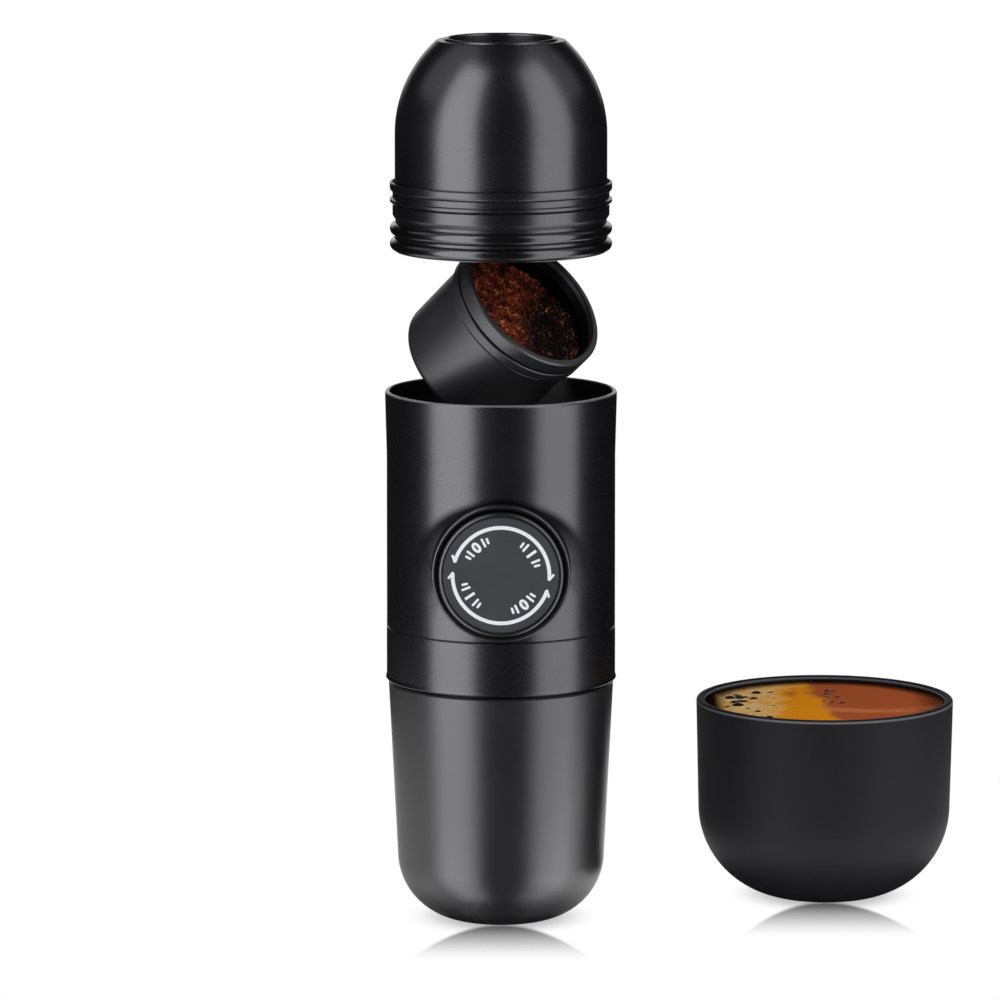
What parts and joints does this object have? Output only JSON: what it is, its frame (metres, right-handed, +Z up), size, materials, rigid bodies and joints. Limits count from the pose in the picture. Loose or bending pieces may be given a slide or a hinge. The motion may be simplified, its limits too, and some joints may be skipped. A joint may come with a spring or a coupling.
{
  "type": "handheld manual espresso maker",
  "caption": "Cylindrical hand-pumped espresso maker with push knob, lift-off outlet head, tipped filter basket, screw-off water tank and a separate round-bottomed cup.",
  "frame": {"origin": "centre of the flat foot of the water tank", "axes": "+Z up along the machine's axis, -Y out of the pump knob's face, +X to the right seen from the knob's side"},
  "size_m": [0.1506, 0.097, 0.2319],
  "materials": {
    "shell_plastic": "satin, fine moulded grain",
    "tank_plastic": "matte, fine moulded grain",
    "head_plastic": "satin",
    "ring_plastic": "satin, slightly glossy",
    "basket_plastic": "satin",
    "cup_plastic": "soft matte",
    "knob_plastic": "satin",
    "dial_plastic": "matte with white printed marks",
    "inner_plastic": "matte",
    "spout_plastic": "satin",
    "pump_plastic": "smooth natural plastic",
    "seal_rubber": "matte silicone",
    "screen_steel": "satin stainless steel"
  },
  "bodies": {
    "tank": {"water_tank": "tank_plastic"},
    "main_body": {"tank_gasket": "seal_rubber", "lower_band": "shell_plastic", "body_shell": "shell_plastic", "brew_deck": "inner_plastic", "shower_screen": "screen_steel", "shower_screw": "screen_steel", "chamber_gasket": "seal_rubber", "base_plate": "inner_plastic", "chassis_posts": "inner_plastic", "chassis_screws": "screen_steel", "pump_cradle": "inner_plastic", "pump_barrel": "pump_plastic", "rod_guide": "pump_plastic", "return_spring": "screen_steel", "knob_guide": "knob_plastic", "inlet_valve_body": "pump_plastic", "intake_filter": "screen_steel", "outlet_valve_body": "pump_plastic", "outlet_valve_spring": "screen_steel", "vent_valve": "seal_rubber"},
    "piston": {"piston_rod": "screen_steel", "piston_head": "pump_plastic", "piston_seal": "seal_rubber", "knob_screw": "screen_steel"},
    "knob": {"knob_cap": "knob_plastic", "knob_face": "dial_plastic"},
    "inlet_check": {"inlet_ball": "screen_steel"},
    "outlet_check": {"outlet_poppet": "pump_plastic"},
    "head": {"outlet_head": "head_plastic", "head_ring_lower": "ring_plastic", "head_ring_upper": "ring_plastic", "outlet_lip_ring": "head_plastic", "head_funnel": "inner_plastic", "outlet_spout": "spout_plastic", "head_gasket": "seal_rubber", "head_screen": "screen_steel"},
    "basket": {"filter_basket": "basket_plastic", "basket_ring": "basket_plastic", "basket_screen": "screen_steel"},
    "cup": {"espresso_cup": "cup_plastic"}
  },
  "joints": [
    {"name": "body_lift", "type": "slide", "parent": "tank", "child": "main_body", "axis": [0, 0, 1], "range_m": [0, 0.06]},
    {"name": "head_lift", "type": "slide", "parent": "main_body", "child": "head", "axis": [0, 0, 1], "range_m": [-0.0525, 0]},
    {"name": "basket_tip", "type": "hinge", "parent": "main_body", "child": "basket", "pos_m": [0.01184, -0.01047, 0.14759], "axis": [0.6626, 0.749, 0], "range_deg": [-49.6, 0]},
    {"name": "piston_pump", "type": "slide", "parent": "main_body", "child": "piston", "axis": [0, -1, 0], "range_m": [0, 0.013], "stiffness_N_per_m": 150, "springref_m": 0.013, "deforming": ["return_spring"]},
    {"name": "knob_twist", "type": "hinge", "parent": "piston", "child": "knob", "pos_m": [0, -0.03, 0.0967], "axis": [0, -1, 0], "range_deg": [-45, 0]},
    {"name": "inlet_ball_lift", "type": "slide", "parent": "main_body", "child": "inlet_check", "axis": [0, 0, 1], "range_m": [0, 0.0012]},
    {"name": "outlet_poppet_lift", "type": "slide", "parent": "main_body", "child": "outlet_check", "axis": [0, 0, 1], "range_m": [0, 0.0015], "stiffness_N_per_m": 200, "deforming": ["outlet_valve_spring"]},
    {"name": "cup_lift", "type": "slide", "parent": "tank", "child": "cup", "axis": [0, 0, 1], "range_m": [0, 0.08]}
  ],
  "couplings": [
    {"joint": "basket_tip", "follows": "head_lift", "rad_per_m": 16.489}
  ]
}
